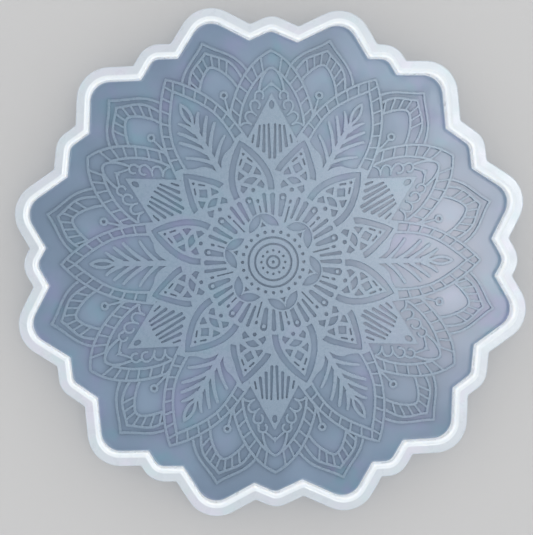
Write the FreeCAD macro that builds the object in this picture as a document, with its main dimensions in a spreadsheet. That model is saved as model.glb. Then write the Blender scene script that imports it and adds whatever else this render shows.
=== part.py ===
import FreeCAD, Part
import math
import os
import Sketcher
from FreeCAD import Vector

# Resin casting mould for a lobed mandala tray, in millimetres.
# The mould is one soft casting. Its regions are separate bodies that meet face to face: a floor sheet, a
# lobed perimeter wall, and a raised mandala pattern that stands on the floor inside the cavity.
# Origin: centre of the underside. +Z points out of the open cavity. +X runs along one feather axis.
#
# The pattern repeats every sixth of a turn. Angles are degrees anticlockwise from +X, seen from above:
# a feather at 0, a narrow lattice petal at 15, a fan at 30 and a wide lattice petal at 45.

SIZES = [
    ("sectors", 6, "number of times the outline and the pattern repeat in a turn"),
    ("total_height", 10, "underside to rim"),
    ("floor_thickness", 3, "floor sheet under the cavity"),
    ("wall_thickness", 5, "perimeter wall"),
    ("rim_round", 1.2, "rounding of the two rim edges"),
    ("outer_disc_radius", 94, "disc that joins the wall's lobes on the outside"),
    ("cavity_disc_radius", 88, "disc that joins the cavity's lobes"),
    ("lobe_base", 78, "distance from the centre to a lobe's hidden base chord"),
    ("feather_lobe_angle", 0, "small lobe outside each feather"),
    ("feather_lobe_tip", 99.4, "its tip radius"),
    ("feather_lobe_crown", 9.6, "its crown radius"),
    ("feather_lobe_flank", 61, "its flank angle from the radial direction"),
    ("fan_lobe_angle", 30, "small lobe outside each fan"),
    ("fan_lobe_tip", 98.5, "its tip radius"),
    ("fan_lobe_crown", 8.8, "its crown radius"),
    ("fan_lobe_flank", 66, "its flank angle"),
    ("first_lobe_angle", 14.9, "big lobe before each fan"),
    ("second_lobe_angle", 47.4, "big lobe after each fan"),
    ("askew_sector", 1, "the one sector, counted from 0, whose two big lobes sit askew"),
    ("askew_turn", 2.1, "how far clockwise of their even places those two sit"),
    ("big_lobe_tip", 105, "tip radius of the big lobes: half the overall diameter"),
    ("big_lobe_crown", 13.25, "crown radius of the big lobes"),
    ("big_lobe_flank", 47.6, "flank angle of the big lobes"),
    ("relief_height", 0.8, "height of the raised pattern above the floor"),
    ("rail_width", 1.15, "width of the long pattern lines"),
    ("rung_width", 0.95, "width of the short pattern lines"),
    ("mandala_radius", 92.9, "centre to the outermost tip of the pattern"),
    ("medallion_radius", 14.1, "round eye of the pattern"),
    ("eye_dot_radius", 0.55, "dot in the middle of the eye"),
    ("groove_width", 0.7, "width of the three ring grooves"),
    ("inner_groove_radius", 2.5, "centre line of the smallest groove"),
    ("middle_groove_radius", 7.4, "centre line of the middle groove"),
    ("outer_groove_radius", 10.05, "centre line of the largest groove"),
    ("dimple_count", 12, "shallow dimples round the smallest groove"),
    ("dimple_ring_radius", 4.8, "their pitch radius"),
    ("dimple_radius", 0.45, "their own radius"),
    ("dimple_depth", 0.3, "their depth"),
    ("stud_count", 24, "small holes round the largest groove"),
    ("stud_ring_radius", 12.5, "their pitch radius"),
    ("stud_radius", 0.6, "their own radius"),
    ("flower_angle", 45, "axis of the first flower petal"),
    ("flower_petal_centre", 13.9, "centre distance of each round flower petal"),
    ("flower_petal_radius", 6.9, "radius of each round flower petal"),
    ("flower_border", 0.78, "raised line round each flower petal"),
    ("flower_heart_across", 6.5, "sideways centre of the arcs that bound a petal's heart"),
    ("flower_heart_out", 20.5, "outward centre of those arcs"),
    ("flower_heart_radius", 6.6, "radius of those arcs"),
    ("flower_disc_radius", 15.2, "disc that joins the flower petals"),
    ("heart_cell_centre", 15.6, "centre distance of the small triangular cell in each heart"),
    ("heart_cell_radius", 1.15, "centre to corner of that cell"),
    ("ray_ring_radius", 29.2, "outer radius of the ring of rays"),
    ("ray_count", 12, "number of times the rays repeat in a turn"),
]

PATTERN_NOMINAL_RADIUS = 92.9
SLIVER_VOLUME = 0.2
LEVEL_TOLERANCE = 0.001

# A new sketch circle starts with these sizes; its constraints then place and size it.
ROUGH_DISTANCE = 10
ROUGH_RADIUS = 1


def fill_sheet(sheet):
    """Write one row per size: name, value and note, with the value's cell named by an alias."""
    for row, (name, value, note) in enumerate(SIZES, start=1):
        sheet.set(f"A{row}", name)
        sheet.set(f"B{row}", str(value))
        sheet.set(f"C{row}", note)
        sheet.setAlias(f"B{row}", name)


doc = FreeCAD.newDocument("resin_mould")
sizes = doc.addObject("Spreadsheet::Sheet", "Sizes")
fill_sheet(sizes)
doc.recompute()


# ---------------------------------------------------------------- sketches and features of a body

def make_body(name):
    body = doc.addObject("PartDesign::Body", name)
    body.Label = name
    body.AllowCompound = True
    return body


def make_sketch(body, name, height, turn=None):
    """Sketch parallel to the body's XY plane, at a height and turned by an angle from the sheet."""
    sketch = body.newObject("Sketcher::SketchObject", name)
    plane = next(item for item in body.Origin.OriginFeatures if item.Role == "XY_Plane")
    sketch.AttachmentSupport = [(plane, "")]
    sketch.MapMode = "FlatFace"
    sketch.setExpression("AttachmentOffset.Base.z", height)
    if turn:
        sketch.setExpression("AttachmentOffset.Rotation.Angle", turn)
    return sketch


def drive(sketch, constraint, name, expression):
    """Add a dimension and bind it to the sheet."""
    index = sketch.addConstraint(constraint)
    sketch.renameConstraint(index, name)
    sketch.setExpression("Constraints." + name, expression)


def add_circle(sketch, name, radius, distance=None):
    """Circle on the sketch's X axis, at the origin or at a distance from it."""
    start = Vector(ROUGH_DISTANCE if distance else 0, 0, 0)
    circle = sketch.addGeometry(Part.Circle(start, Vector(0, 0, 1), ROUGH_RADIUS), False)
    if distance:
        sketch.addConstraint(Sketcher.Constraint("PointOnObject", circle, 3, -1))
        drive(sketch, Sketcher.Constraint("DistanceX", -1, 1, circle, 3, ROUGH_DISTANCE),
              name + "_distance", distance)
    else:
        sketch.addConstraint(Sketcher.Constraint("Coincident", circle, 3, -1, 1))
    drive(sketch, Sketcher.Constraint("Radius", circle, ROUGH_RADIUS), name + "_radius", radius)
    return circle


def add_lobe(sketch, family, inset):
    """Rounded V on the sketch's X axis: a crown arc, two straight flanks and a hidden base chord."""
    flank = math.radians(sizes.get(family + "_flank"))
    crown = sizes.get(family + "_crown")
    centre = Vector(sizes.get(family + "_tip") - crown, 0, 0)
    base = sizes.lobe_base
    touch = centre + Vector(crown * math.sin(flank), crown * math.cos(flank), 0)
    foot = Vector(base, touch.y + (touch.x - base) * math.tan(flank), 0)
    turn = math.pi / 2 - flank
    circle = Part.Circle(centre, Vector(0, 0, 1), crown)
    arc = sketch.addGeometry(Part.ArcOfCircle(circle, -turn, turn), False)
    upper = sketch.addGeometry(Part.LineSegment(touch, foot), False)
    lower = sketch.addGeometry(Part.LineSegment(flipped(touch), flipped(foot)), False)
    chord = sketch.addGeometry(Part.LineSegment(foot, flipped(foot)), False)
    sketch.addConstraint(Sketcher.Constraint("Tangent", arc, 2, upper, 1))
    sketch.addConstraint(Sketcher.Constraint("Tangent", arc, 1, lower, 1))
    sketch.addConstraint(Sketcher.Constraint("Coincident", upper, 2, chord, 1))
    sketch.addConstraint(Sketcher.Constraint("Coincident", lower, 2, chord, 2))
    sketch.addConstraint(Sketcher.Constraint("PointOnObject", arc, 3, -1))
    sketch.addConstraint(Sketcher.Constraint("Symmetric", upper, 2, lower, 2, -1))
    drive(sketch, Sketcher.Constraint("DistanceX", -1, 1, arc, 3, centre.x), "crown_distance",
          f"Sizes.{family}_tip - Sizes.{family}_crown")
    drive(sketch, Sketcher.Constraint("Radius", arc, crown), "crown_radius",
          f"Sizes.{family}_crown - {inset}")
    drive(sketch, Sketcher.Constraint("DistanceX", -1, 1, upper, 2, base), "base_distance",
          "Sizes.lobe_base")
    drive(sketch, Sketcher.Constraint("Angle", upper, math.pi - flank), "flank_angle",
          f"180 deg - Sizes.{family}_flank * 1 deg")


def flipped(point):
    """The point's reflection in the sketch's X axis."""
    return Vector(point.x, -point.y, 0)


def add_pad(body, sketch, length):
    pad = body.newObject("PartDesign::Pad", sketch.Name + "_pad")
    pad.Profile = sketch
    pad.setExpression("Length", length)
    body.Tip = pad
    return pad


def add_pocket(body, sketch, depth):
    """Cut downwards from the sketch's plane."""
    pocket = body.newObject("PartDesign::Pocket", sketch.Name + "_pocket")
    pocket.Profile = sketch
    pocket.setExpression("Length", depth)
    body.Tip = pocket
    return pocket


def repeat(body, name, features, count):
    """Repeat features all the way round +Z."""
    pattern = body.newObject("PartDesign::PolarPattern", name)
    pattern.Originals = features
    axis = next(item for item in body.Origin.OriginFeatures if item.Role == "Z_Axis")
    pattern.Axis = (axis, [""])
    pattern.Angle = 360
    pattern.setExpression("Occurrences", count)
    body.Tip = pattern
    return pattern


SMALL_LOBES = ("feather_lobe", "fan_lobe")
BIG_LOBES = ("first_lobe", "second_lobe")


def add_outline(body, prefix, height, length, disc_radius, inset, cut=False):
    """The lobed outline, padded or cut: a disc, small lobes repeated in every sector, and big lobes.

    The two big lobes of one sector sit askew, so each big lobe has a sketch of its own.
    """
    make_feature = add_pocket if cut else add_pad
    disc = make_sketch(body, prefix + "_disc", height)
    add_circle(disc, "disc", disc_radius)
    make_feature(body, disc, length)
    features = []
    for lobe in SMALL_LOBES:
        sketch = make_sketch(body, f"{prefix}_{lobe}", height, f"Sizes.{lobe}_angle")
        add_lobe(sketch, lobe, inset)
        features.append(make_feature(body, sketch, length))
    outline = repeat(body, prefix + "_small_lobes", features, "Sizes.sectors")
    for sector in range(int(sizes.sectors)):
        askew = " - Sizes.askew_turn" if sector == sizes.askew_sector else ""
        for lobe in BIG_LOBES:
            turn = f"Sizes.{lobe}_angle + {sector} * 360 / Sizes.sectors{askew}"
            sketch = make_sketch(body, f"{prefix}_{lobe}_{sector}", height, turn)
            add_lobe(sketch, "big_lobe", inset)
            outline = make_feature(body, sketch, length)
    return outline


# ---------------------------------------------------------------- floor and wall

def make_floor_sheet():
    """Flat membrane that fills the inside of the wall and carries the pattern."""
    body = make_body("floor_sheet")
    add_outline(body, "floor", "0 mm", "Sizes.floor_thickness", "Sizes.cavity_disc_radius",
                "Sizes.wall_thickness")
    return body


def horizontal_edges_at(shape, height):
    """Names of the edges that lie wholly at a height."""
    names = []
    for index, edge in enumerate(shape.Edges, start=1):
        box = edge.BoundBox
        if abs(box.ZMin - height) < LEVEL_TOLERANCE and abs(box.ZMax - height) < LEVEL_TOLERANCE:
            names.append(f"Edge{index}")
    return names


def make_rim_wall():
    """Upright wall between the outer outline and the cavity outline, with a rounded rim."""
    body = make_body("rim_wall")
    add_outline(body, "wall", "0 mm", "Sizes.total_height", "Sizes.outer_disc_radius", "0")
    solid = add_outline(body, "cavity", "Sizes.total_height", "Sizes.total_height",
                        "Sizes.cavity_disc_radius", "Sizes.wall_thickness", cut=True)
    doc.recompute()
    rim = body.newObject("PartDesign::Fillet", "rim_round")
    rim.Base = (solid, horizontal_edges_at(solid.Shape, sizes.total_height))
    rim.setExpression("Radius", "Sizes.rim_round")
    body.Tip = rim
    return body


# ---------------------------------------------------------------- middle of the mandala

RELIEF_BOTTOM = "Sizes.floor_thickness"
RELIEF_TOP = "Sizes.floor_thickness + Sizes.relief_height"


def add_groove(body, name, centre_line):
    """Ring groove cut through the relief."""
    sketch = make_sketch(body, name, RELIEF_TOP)
    add_circle(sketch, "outer", f"{centre_line} + Sizes.groove_width / 2")
    add_circle(sketch, "inner", f"{centre_line} - Sizes.groove_width / 2")
    add_pocket(body, sketch, "Sizes.relief_height")


def add_round_holes(body, name, count, ring_radius, radius, depth):
    """A ring of small round holes."""
    sketch = make_sketch(body, name, RELIEF_TOP)
    add_circle(sketch, "hole", radius, ring_radius)
    hole = add_pocket(body, sketch, depth)
    repeat(body, name + "_ring", [hole], count)


def make_centre_medallion():
    """Round eye: a disc with three ring grooves, a centre dot, shallow dimples and a ring of holes."""
    body = make_body("centre_medallion")
    disc = make_sketch(body, "eye_disc", RELIEF_BOTTOM)
    add_circle(disc, "disc", "Sizes.medallion_radius")
    add_pad(body, disc, "Sizes.relief_height")
    dot = make_sketch(body, "eye_dot", RELIEF_TOP)
    add_circle(dot, "dot", "Sizes.eye_dot_radius")
    add_pocket(body, dot, "Sizes.relief_height")
    for name in ("inner_groove", "middle_groove", "outer_groove"):
        add_groove(body, name, f"Sizes.{name}_radius")
    add_round_holes(body, "dimples", "Sizes.dimple_count", "Sizes.dimple_ring_radius",
                    "Sizes.dimple_radius", "Sizes.dimple_depth")
    add_round_holes(body, "studs", "Sizes.stud_count", "Sizes.stud_ring_radius",
                    "Sizes.stud_radius", "Sizes.relief_height")
    return body


def circle_crossing(centre_a, radius_a, centre_b, radius_b, side):
    """The crossing of two circles that lies to the left (+1) or right (-1) of the line from a to b."""
    span = centre_b - centre_a
    along = (span.Length ** 2 + radius_a ** 2 - radius_b ** 2) / (2 * span.Length)
    across = math.sqrt(radius_a ** 2 - along ** 2)
    forward = Vector(span).normalize()
    return centre_a + forward * along + Vector(-forward.y, forward.x, 0) * across * side


def add_arc(sketch, centre, radius, start, end):
    """Arc of a sketch from one point to another, anticlockwise about its centre."""
    start_angle = math.atan2(start.y - centre.y, start.x - centre.x)
    end_angle = math.atan2(end.y - centre.y, end.x - centre.x)
    circle = Part.Circle(centre, Vector(0, 0, 1), radius)
    return sketch.addGeometry(Part.ArcOfCircle(circle, start_angle, end_angle), False)


def add_crescent(body, name, side):
    """Lens-shaped hollow on one side of a flower petal, between its border and its heart."""
    sketch = make_sketch(body, name, RELIEF_TOP, "Sizes.flower_angle")
    rim_centre = Vector(sizes.flower_petal_centre, 0, 0)
    rim_radius = sizes.flower_petal_radius - sizes.flower_border
    heart_centre = Vector(sizes.flower_heart_out, side * sizes.flower_heart_across, 0)
    heart_radius = sizes.flower_heart_radius
    left = circle_crossing(rim_centre, rim_radius, heart_centre, heart_radius, 1)
    right = circle_crossing(rim_centre, rim_radius, heart_centre, heart_radius, -1)
    rim = add_arc(sketch, rim_centre, rim_radius, right, left)
    heart = add_arc(sketch, heart_centre, heart_radius, left, right)
    sketch.addConstraint(Sketcher.Constraint("Coincident", rim, 2, heart, 1))
    sketch.addConstraint(Sketcher.Constraint("Coincident", rim, 1, heart, 2))
    sketch.addConstraint(Sketcher.Constraint("PointOnObject", rim, 3, -1))
    drive(sketch, Sketcher.Constraint("DistanceX", -1, 1, rim, 3, rim_centre.x), "rim_distance",
          "Sizes.flower_petal_centre")
    drive(sketch, Sketcher.Constraint("Radius", rim, rim_radius), "rim_radius",
          "Sizes.flower_petal_radius - Sizes.flower_border")
    drive(sketch, Sketcher.Constraint("DistanceX", -1, 1, heart, 3, heart_centre.x), "heart_out",
          "Sizes.flower_heart_out")
    drive(sketch, Sketcher.Constraint("DistanceY", -1, 1, heart, 3, heart_centre.y), "heart_across",
          f"{side} * Sizes.flower_heart_across")
    drive(sketch, Sketcher.Constraint("Radius", heart, heart_radius), "heart_radius",
          "Sizes.flower_heart_radius")
    return add_pocket(body, sketch, "Sizes.relief_height")


def add_heart_cell(body):
    """Small triangular hollow in the heart of a petal, point outwards."""
    sketch = make_sketch(body, "heart_cell", RELIEF_TOP, "Sizes.flower_angle")
    reach = sizes.heart_cell_radius
    centre = Vector(sizes.heart_cell_centre, 0, 0)
    corners = [centre + Vector(reach * math.cos(turn), reach * math.sin(turn), 0)
               for turn in (0, math.tau / 3, 2 * math.tau / 3)]
    lines = [sketch.addGeometry(Part.LineSegment(corners[k], corners[(k + 1) % 3]), False)
             for k in range(3)]
    guide = sketch.addGeometry(Part.Circle(centre, Vector(0, 0, 1), reach), True)
    for k in range(3):
        sketch.addConstraint(Sketcher.Constraint("Coincident", lines[k], 2, lines[(k + 1) % 3], 1))
        sketch.addConstraint(Sketcher.Constraint("PointOnObject", lines[k], 1, guide))
    sketch.addConstraint(Sketcher.Constraint("Equal", lines[0], lines[1]))
    sketch.addConstraint(Sketcher.Constraint("Equal", lines[1], lines[2]))
    sketch.addConstraint(Sketcher.Constraint("PointOnObject", guide, 3, -1))
    sketch.addConstraint(Sketcher.Constraint("PointOnObject", lines[0], 1, -1))
    drive(sketch, Sketcher.Constraint("DistanceX", -1, 1, guide, 3, centre.x), "cell_distance",
          "Sizes.heart_cell_centre")
    drive(sketch, Sketcher.Constraint("Radius", guide, reach), "cell_radius", "Sizes.heart_cell_radius")
    return add_pocket(body, sketch, "Sizes.relief_height")


def make_flower_petals():
    """Six round petals, each a raised border, two crescent hollows and a pointed heart."""
    body = make_body("flower_petals")
    disc = make_sketch(body, "flower_disc", RELIEF_BOTTOM)
    add_circle(disc, "disc", "Sizes.flower_disc_radius")
    add_pad(body, disc, "Sizes.relief_height")
    petal = make_sketch(body, "flower_petal", RELIEF_BOTTOM, "Sizes.flower_angle")
    add_circle(petal, "petal", "Sizes.flower_petal_radius", "Sizes.flower_petal_centre")
    repeat(body, "flower_petal_ring", [add_pad(body, petal, "Sizes.relief_height")], "Sizes.sectors")
    hollows = [add_crescent(body, "left_crescent", 1), add_crescent(body, "right_crescent", -1),
               add_heart_cell(body)]
    repeat(body, "flower_hollow_ring", hollows, "Sizes.sectors")
    middle = make_sketch(body, "flower_middle", RELIEF_TOP)
    add_circle(middle, "middle", "Sizes.medallion_radius")
    add_pocket(body, middle, "Sizes.relief_height")
    return body


# ---------------------------------------------------------------- free-form lines of the pattern
#
# Each motif is drawn with +Y pointing outwards along its own axis and X across it. Symmetric motifs are
# drawn on the +X side and mirrored. Every outline is flat and is then raised by the relief height.

def at(across, out):
    """A point of a motif, scaled with the pattern."""
    scale = sizes.mandala_radius / PATTERN_NOMINAL_RADIUS
    return Vector(across * scale, out * scale, 0)


def line_of(*pairs):
    return [at(across, out) for across, out in pairs]


def curve_through(points):
    """Straight edge through two points, or a smooth edge through more."""
    if len(points) == 2:
        return Part.LineSegment(*points).toShape()
    curve = Part.BSplineCurve()
    curve.interpolate(points)
    return curve.toShape()


def raised(face):
    """The flat face as a solid standing on the floor."""
    prism = face.extrude(Vector(0, 0, sizes.relief_height))
    prism.translate(Vector(0, 0, sizes.floor_thickness))
    return prism


def bar(points, start_width, end_width=None):
    """Raised line along a smooth path, with round ends and an even taper."""
    end_width = end_width or start_width
    path = curve_through(points)
    left = []
    right = []
    for index, point in enumerate(points):
        share = index / (len(points) - 1)
        half = (start_width + (end_width - start_width) * share) / 2
        forward = path.tangentAt(path.Curve.parameter(point))
        sideways = Vector(-forward.y, forward.x, 0) * half
        left.append(point + sideways)
        right.append(point - sideways)
        if index == 0:
            tail = point - forward * half
    head = point + forward * half
    edges = [curve_through(left), Part.Arc(left[-1], head, right[-1]).toShape(),
             curve_through(right[::-1]), Part.Arc(right[0], tail, left[0]).toShape()]
    return raised(Part.Face(Part.Wire(edges)))


def arc_bar(centre, radius, start, end, width):
    """Raised line along an arc, with round ends. Angles are degrees anticlockwise from +X."""
    def on_circle(reach, angle):
        turn = math.radians(angle)
        return centre + Vector(reach * math.cos(turn), reach * math.sin(turn), 0)

    half = width / 2
    middle = (start + end) / 2
    cap = math.degrees(half / radius)
    outer = [on_circle(radius + half, angle) for angle in (start, middle, end)]
    inner = [on_circle(radius - half, angle) for angle in (end, middle, start)]
    arcs = [Part.Arc(*outer), Part.Arc(outer[2], on_circle(radius, end + cap), inner[0]),
            Part.Arc(*inner), Part.Arc(inner[2], on_circle(radius, start - cap), outer[0])]
    return raised(Part.Face(Part.Wire([arc.toShape() for arc in arcs])))


def patch(points):
    """Raised area inside a straight-sided outline."""
    return raised(Part.Face(Part.makePolygon(points + points[:1])))


def arch(side):
    """Raised area under a pointed arch: a smooth side from the tip to the foot, and its reflection."""
    mirrored = [Vector(-point.x, point.y, 0) for point in side]
    edges = [curve_through(side), Part.LineSegment(side[-1], mirrored[-1]).toShape(),
             curve_through(mirrored[::-1])]
    return raised(Part.Face(Part.Wire(edges)))


def disc(centre, radius, across_stretch=1):
    """Raised round or oval area."""
    if across_stretch == 1:
        ring = Part.Circle(centre, Vector(0, 0, 1), radius).toShape()
    else:
        ring = Part.Ellipse(centre, radius, radius * across_stretch).toShape()
        ring.rotate(centre, Vector(0, 0, 1), 90)
    return raised(Part.Face(Part.Wire([ring])))


def mirrored(shape):
    return shape.mirror(Vector(), Vector(1, 0, 0))


def on_both_sides(shapes):
    return shapes + [mirrored(shape) for shape in shapes]


def turned(shape, angle):
    copy = shape.copy()
    copy.rotate(Vector(), Vector(0, 0, 1), angle)
    return copy


def on_axis(shape, angle):
    """Turn a motif drawn along +Y so that its axis lies at an angle from +X."""
    return turned(shape, angle - 90)


def merged(shapes):
    return shapes[0].multiFuse(shapes[1:]).removeSplitter()


def minus(shape, cutters):
    """The shape with the cutters taken out, and without the slivers that this can leave."""
    left = shape.cut(cutters).removeSplitter()
    return Part.makeCompound([solid for solid in left.Solids if solid.Volume > SLIVER_VOLUME])


def sector_angles(first):
    """Axis angles of a motif in every sector."""
    count = int(sizes.sectors)
    return [first + 360 * turn / count for turn in range(count)]


def all_round(shape):
    """The motif's copies in every sector, as one group of separate solids."""
    return Part.makeCompound([turned(shape, angle) for angle in sector_angles(0)])


def rungs(outer_rail, outer_steps, inner_rail, inner_steps):
    """Short lines between two rails, from lengths along the outer rail to lengths along the inner."""
    outer = curve_through(outer_rail)
    inner = curve_through(inner_rail)
    lines = []
    for outer_step, inner_step in zip(outer_steps, inner_steps):
        start = outer.valueAt(outer.getParameterByLength(outer_step))
        end = inner.valueAt(inner.getParameterByLength(inner_step))
        lines.append(bar([start, end], sizes.rung_width))
    return lines


def even_steps(first, step, count):
    return [first + step * index for index in range(count)]


# ---------------------------------------------------------------- feathers

FEATHER_AXIS = 0
FEATHER_OUTER_RAIL = line_of((0, 85.5), (6.9, 77.8), (12.8, 66.8), (15.4, 56.6), (16.1, 48.6))
FEATHER_INNER_RAIL = line_of((0, 80), (5.9, 72.3), (10, 64.5), (11.6, 56), (11.7, 50.4))


def feather_frame():
    """Pointed ladder: two rails a side, joined by rungs."""
    lines = [bar(FEATHER_OUTER_RAIL, sizes.rail_width), bar(FEATHER_INNER_RAIL, sizes.rail_width)]
    lines += rungs(FEATHER_OUTER_RAIL, [2.9] + even_steps(7.5, 5.2, 7),
                   FEATHER_INNER_RAIL, even_steps(0, 4.65, 8))
    foot = patch(line_of((11.7, 50.4), (15.8, 51.4), (16.5, 48.4), (13.4, 46)))
    return merged(on_both_sides(lines + [foot]))


def feather_leaf():
    """Plume: a stem, four pairs of leaflets, a tip loop, and the shouldered field the stem grows from."""
    stem = bar(line_of((0, 43), (0, 65)), 2.4, 2)
    leaflets = [
        bar(line_of((4.5, 67.5), (2.8, 65.4), (0.8, 61.5)), 1.1, 1.9),
        bar(line_of((6.5, 64.3), (4.1, 61.3), (0.8, 56.4)), 1.35, 1.7),
        bar(line_of((8.1, 60.6), (4.9, 57.4), (0.8, 51.6)), 1.35, 1.7),
        bar(line_of((8.9, 54.1), (5.2, 51.5), (0.8, 47)), 1.15, 1.7),
    ]
    field = patch(line_of((0, 27), (7.4, 27), (13, 50), (11.6, 50.4), (8.1, 48.6),
                          (5.4, 48), (3.6, 46.8), (2.2, 45.3), (1, 43.2), (0, 43)))
    loop = lens(at(0, 69.1), 5.6, 2.15)
    eye = lens(at(0, 69.1), 3.5, 0.75)
    return minus(merged([stem, loop] + on_both_sides(leaflets + [field])), [eye])


def lens(centre, half_length, half_width):
    """Raised area between two equal arcs, pointed along Y."""
    tips = [centre + Vector(0, sign * half_length, 0) for sign in (1, -1)]
    sides = [centre + Vector(sign * half_width, 0, 0) for sign in (1, -1)]
    arcs = [Part.Arc(tips[0], sides[0], tips[1]), Part.Arc(tips[1], sides[1], tips[0])]
    return raised(Part.Face(Part.Wire([arc.toShape() for arc in arcs])))


# ---------------------------------------------------------------- fans

FAN_AXIS = 30
FAN_OUTER_RAIL = line_of((0, 85.9), (7.9, 79.9), (13.4, 71.2), (16.9, 60.2))
FAN_INNER_RAIL = line_of((3.3, 77), (8.1, 71.2), (12, 62.7), (13.1, 55.5))
SCROLL_WIDTH = 1.0


def fan_frame():
    """Pointed ladder with one open cell at its tip."""
    lines = [bar(FAN_OUTER_RAIL, sizes.rail_width), bar(FAN_INNER_RAIL, sizes.rail_width)]
    lines += rungs(FAN_OUTER_RAIL, even_steps(5.1, 4.9, 6),
                   FAN_INNER_RAIL, (0, 3.3, 6.4, 10.4, 15.6, 20.6))
    return merged(on_both_sides(lines))


def fan_hood():
    """Rounded hood and chevron over the fan, with a row of four scrolls hanging from each end."""
    hood = bar(line_of((-5, 70.3), (-4.5, 72.8), (-3.3, 76), (0, 78.9), (3.3, 76), (4.5, 72.8), (5, 70.3)),
               sizes.rail_width)
    spike = bar(line_of((0, 72.1), (0, 73.8)), 1.5, 0.5)
    side = [
        bar(line_of((0, 72.8), (3.5, 69.7)), sizes.rung_width),
        arc_bar(at(5, 67.7), 1.75, -30, 228, SCROLL_WIDTH),
        bar(line_of((6.75, 67.4), (6.9, 65.6)), SCROLL_WIDTH),
        arc_bar(at(6.8, 63.8), 1.95, -10, 222, SCROLL_WIDTH),
        bar(line_of((8.75, 63.6), (8.2, 61.8), (6.4, 59.7)), SCROLL_WIDTH, 0.9),
        arc_bar(at(8.8, 59.1), 1.95, -20, 118, SCROLL_WIDTH),
        bar(line_of((10.6, 58.4), (9.9, 57.3), (8.4, 56.2)), SCROLL_WIDTH, 0.8),
        bar(line_of((12.8, 55.4), (10.4, 56.6), (8.3, 55.9)), SCROLL_WIDTH, 0.9),
    ]
    return merged([hood, spike] + on_both_sides(side))


def fan_petal():
    """Kite with a dot near its tip, a tapering spear in the middle and four slots a side."""
    half = patch(line_of((0, 68.8), (10.2, 49.8), (10.2, 48.4), (7.4, 27), (0, 27)))
    slots = [
        bar(line_of((1.35, 55.9), (1, 42.7)), 0.7, 1.15),
        bar(line_of((3.2, 55.5), (3.4, 45.2)), 0.8, 1.2),
        bar(line_of((4.95, 55.3), (5.8, 47.2)), 0.7, 1.2),
        bar(line_of((7.5, 51.5), (8, 48.8)), 0.6, 0.75),
    ]
    eye = disc(at(0, 64), 1.6, 0.62)
    return minus(merged(on_both_sides([half])), on_both_sides(slots) + [eye])


# ---------------------------------------------------------------- lattice petals

NARROW_AXIS = 15
NARROW_BORDER = line_of((0, 53.1), (4, 48), (6.8, 43.7), (9.1, 37.2), (8.2, 31.5), (6.9, 27))
NARROW_MOAT = line_of((0, 51.1), (2.9, 47.6), (5.5, 43.4), (7.3, 40.3), (8.5, 36.6))
NARROW_HEART = line_of((0, 48.4), (1.9, 45.3), (4.1, 41.5), (5.7, 38.2), (6.6, 34.6))
WIDE_AXIS = 45
WIDE_BORDER = line_of((0, 53.1), (4.2, 48.2), (7.1, 43.6), (9.7, 36.2), (9.8, 31.8), (8.8, 27))
WIDE_MOAT = line_of((0, 51.1), (3.2, 47.6), (6, 43.2), (8.6, 36.3), (8.3, 28.2))
WIDE_HEART = line_of((0, 48.6), (1.9, 45.3), (4.6, 40.6), (6.2, 35.6), (5.8, 28.2))
MOAT_END = 29.6


def lattice_cells():
    """Hollows of the net inside a lattice petal."""
    side = [
        bar(line_of((1.3, 43.5), (2.5, 41.7)), 0.6),
        patch(line_of((3.7, 39), (4.8, 36.4), (4.6, 35.6), (1.9, 36.7))),
        patch(line_of((4.2, 33.4), (5, 31.4), (4.2, 30.1), (1.9, 31.9))),
    ]
    middle = [
        disc(at(0, 45.4), 0.5),
        patch(line_of((0, 41.9), (2.1, 39.7), (0, 37.4), (-2.1, 39.7))),
        raised(Part.Face(Part.Wire([
            Part.Arc(at(2.8, 34.3), at(0, 35.6), at(-2.8, 34.3)).toShape(),
            Part.LineSegment(at(-2.8, 34.3), at(0, 32.7)).toShape(),
            Part.LineSegment(at(0, 32.7), at(2.8, 34.3)).toShape()]))),
        disc(at(0, 30.4), 0.75),
    ]
    return on_both_sides(side) + middle


def lattice_petal(border, moat, heart, moat_end):
    """Pointed petal: a raised border, a moat that stops short of the foot, and a netted heart."""
    hollow = arch(moat).cut([arch(heart), moat_end])
    return minus(arch(border), [hollow] + lattice_cells())


def narrow_petal():
    """Its moat ends square to its own direction, well above the ring of rays."""
    end = line_of((5.9, 35.0), (9.6, 37.4), (9.6, 30), (5.9, 30))
    return lattice_petal(NARROW_BORDER, NARROW_MOAT, NARROW_HEART, merged(on_both_sides([patch(end)])))


def wide_petal():
    """Its moat runs down to the ring of rays."""
    foot = at(0, MOAT_END).y
    return lattice_petal(WIDE_BORDER, WIDE_MOAT, WIDE_HEART, disc(Vector(), foot))


# ---------------------------------------------------------------- corner frames and stalks

FIRST_CORNER_AXIS = 15
SECOND_CORNER_AXIS = 47.5
CORNER_OUTER_LINE = line_of((0, 92.9), (4.9, 88.5), (10.2, 83.9), (12.8, 80), (14.6, 74.5))
CORNER_MIDDLE_LINE = line_of((0, 88.8), (4, 86), (7.9, 82.9), (10, 79), (11.3, 73.5))
CORNER_ARCH = line_of((0, 82.7), (2.7, 81.2), (5.2, 78.2), (7.2, 74.6), (8.4, 70))
STALK_OFFSET = 14
STALK_RING_DISTANCE = 70.4
STALK_RING_RADIUS = 1.8
STALK_EYE_RADIUS = 0.7


def corner_frame():
    """Two nested chevrons over a round arch, with rungs under the inner chevron.

    The +X side faces the feather and has one rung more than the side that faces the fan.
    """
    far_side = [Vector(-point.x, point.y, 0) for point in CORNER_ARCH[:0:-1]]
    lines = [bar(CORNER_OUTER_LINE, sizes.rail_width), bar(CORNER_MIDDLE_LINE, sizes.rail_width)]
    steps = rungs(CORNER_MIDDLE_LINE, (2.3, 5.7, 9.2, 13.2), CORNER_ARCH, (1.2, 4, 7.3, 10.4))
    both = on_both_sides(lines + steps[:-1])
    return merged([bar(far_side + CORNER_ARCH, sizes.rail_width)] + both + steps[-1:])


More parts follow.
